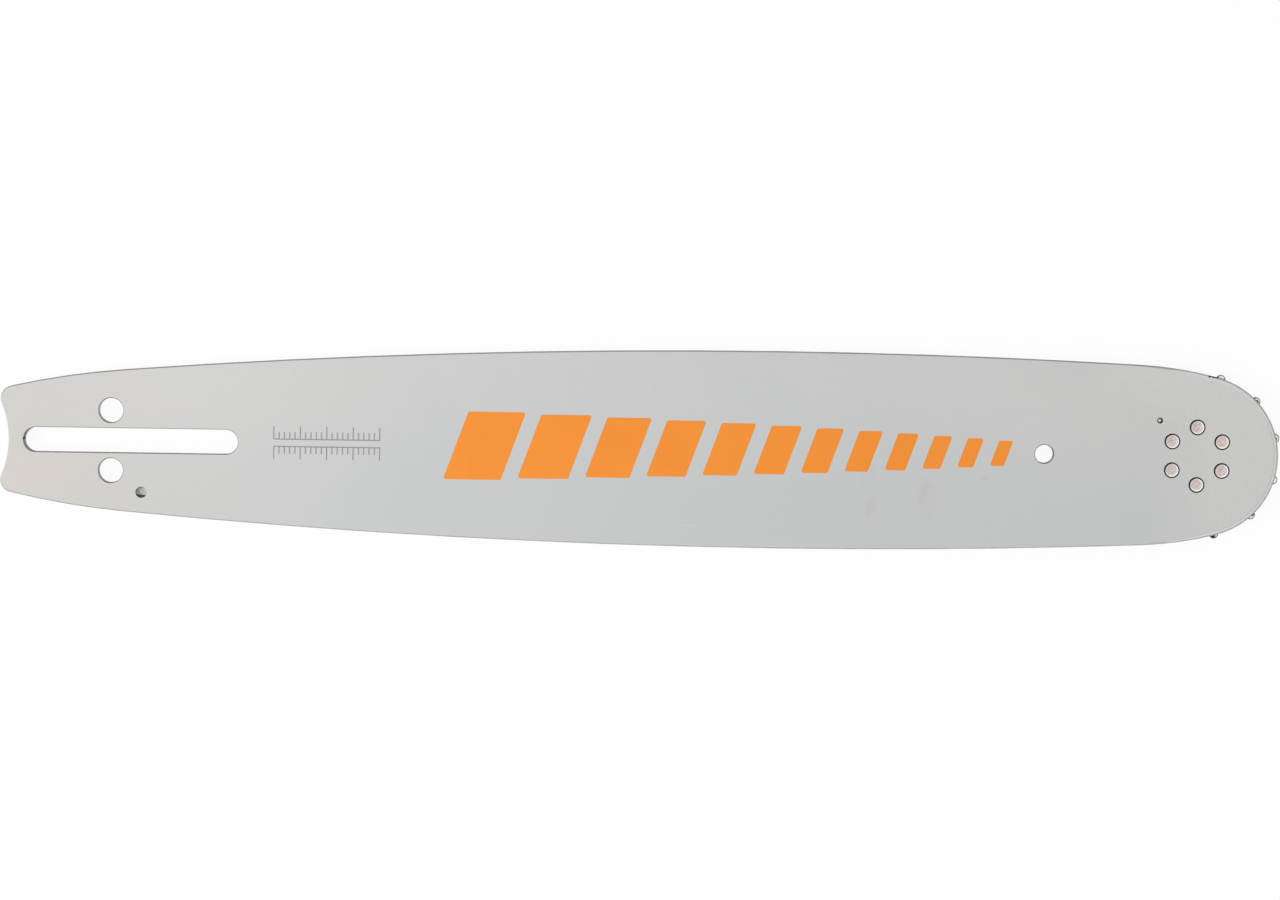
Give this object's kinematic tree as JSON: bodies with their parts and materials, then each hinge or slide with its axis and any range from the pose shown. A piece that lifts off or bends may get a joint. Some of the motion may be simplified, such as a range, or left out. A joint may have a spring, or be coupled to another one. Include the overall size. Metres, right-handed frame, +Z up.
{
  "type": "chainsaw guide bar",
  "caption": "Flat steel chainsaw guide bar with a chain groove round its edge, a stud slot and tension holes at the tail, and a riveted nose sprocket that turns on rollers.",
  "frame": {"origin": "middle of the stud slot on the lower face, the side that lies on the saw's pad", "axes": "+X along the bar to the nose, +Y across the bar, +Z up through its thickness"},
  "size_m": [0.444, 0.0684, 0.0042],
  "materials": {
    "bar_paint": "light grey satin paint over steel, bare along the edges",
    "core_steel": "dull oiled steel in the chain groove",
    "bearing_steel": "ground bearing steel",
    "rivet_steel": "rivet heads ground flush and bright",
    "sprocket_steel": "hardened steel, satin and slightly dark"
  },
  "bodies": {
    "bar": {"side_plate_upper": "bar_paint", "side_plate_lower": "bar_paint", "core_plate": "core_steel", "bearing_race": "bearing_steel", "nose_rivets": "rivet_steel"},
    "sprocket": {"nose_sprocket": "sprocket_steel"},
    "rollers": {"bearing_roller_01": "bearing_steel", "bearing_roller_02": "bearing_steel", "bearing_roller_03": "bearing_steel", "bearing_roller_04": "bearing_steel", "bearing_roller_05": "bearing_steel", "bearing_roller_06": "bearing_steel", "bearing_roller_07": "bearing_steel", "bearing_roller_08": "bearing_steel", "bearing_roller_09": "bearing_steel", "bearing_roller_10": "bearing_steel", "bearing_roller_11": "bearing_steel", "bearing_roller_12": "bearing_steel", "bearing_roller_13": "bearing_steel", "bearing_roller_14": "bearing_steel", "bearing_roller_15": "bearing_steel", "bearing_roller_16": "bearing_steel", "bearing_roller_17": "bearing_steel", "bearing_roller_18": "bearing_steel", "bearing_roller_19": "bearing_steel", "bearing_roller_20": "bearing_steel", "bearing_roller_21": "bearing_steel", "bearing_roller_22": "bearing_steel", "bearing_roller_23": "bearing_steel", "bearing_roller_24": "bearing_steel", "bearing_roller_25": "bearing_steel", "bearing_roller_26": "bearing_steel", "bearing_roller_27": "bearing_steel", "bearing_roller_28": "bearing_steel", "bearing_roller_29": "bearing_steel", "bearing_roller_30": "bearing_steel", "bearing_roller_31": "bearing_steel", "bearing_roller_32": "bearing_steel", "bearing_roller_33": "bearing_steel", "bearing_roller_34": "bearing_steel", "bearing_roller_35": "bearing_steel", "bearing_roller_36": "bearing_steel", "bearing_roller_37": "bearing_steel"}
  },
  "joints": [
    {"name": "sprocket_spin", "type": "hinge", "parent": "bar", "child": "sprocket", "pos_m": [0.3701, 0, 0.0021], "axis": [0, 0, 1], "continuous": true},
    {"name": "roller_orbit", "type": "hinge", "parent": "bar", "child": "rollers", "pos_m": [0.3701, 0, 0.0021], "axis": [0, 0, 1], "continuous": true}
  ],
  "couplings": [
    {"joint": "roller_orbit", "follows": "sprocket_spin", "ratio": 0.5419}
  ]
}
